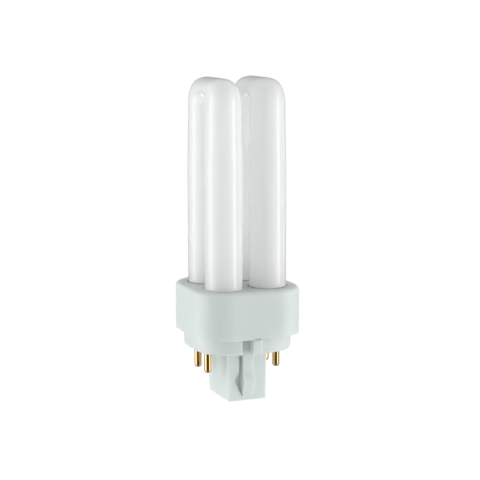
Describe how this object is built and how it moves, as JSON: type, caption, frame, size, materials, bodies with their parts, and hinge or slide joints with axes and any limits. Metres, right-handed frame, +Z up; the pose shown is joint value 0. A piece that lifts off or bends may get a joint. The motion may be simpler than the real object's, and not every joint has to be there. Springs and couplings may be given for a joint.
{
  "type": "compact fluorescent lamp",
  "caption": "Plug-in compact fluorescent lamp: bent glass tubes in a moulded square collar, above a keyed cap with a latch post and contact pins",
  "frame": {"origin": "centre of the plug post's end face, on which the lamp stands", "axes": "+Z up along the tubes, the long axis; -Y the front, where the nearer latch tongue is; +X right"},
  "size_m": [0.0354, 0.0354, 0.1034],
  "materials": {
    "coated_glass": "glossy glass, white phosphor coating inside",
    "collar_plastic": "satin moulded",
    "cap_plastic": "satin moulded",
    "cement": "matte cured cement",
    "pin_brass": "polished",
    "wire_metal": "drawn wire"
  },
  "bodies": {
    "root": {"discharge_tube": "coated_glass", "tube_collar": "collar_plastic", "pin_cap": "cap_plastic", "cement_ring_front_left": "cement", "cement_ring_front_right": "cement", "cement_ring_back_left": "cement", "cement_ring_back_right": "cement", "contact_pin_front_left": "pin_brass", "contact_pin_front_right": "pin_brass", "contact_pin_back_left": "pin_brass", "contact_pin_back_right": "pin_brass", "lead_wire_front_left": "wire_metal", "lead_wire_front_right": "wire_metal", "lead_wire_back_left": "wire_metal", "lead_wire_back_right": "wire_metal"}
  },
  "joints": []
}
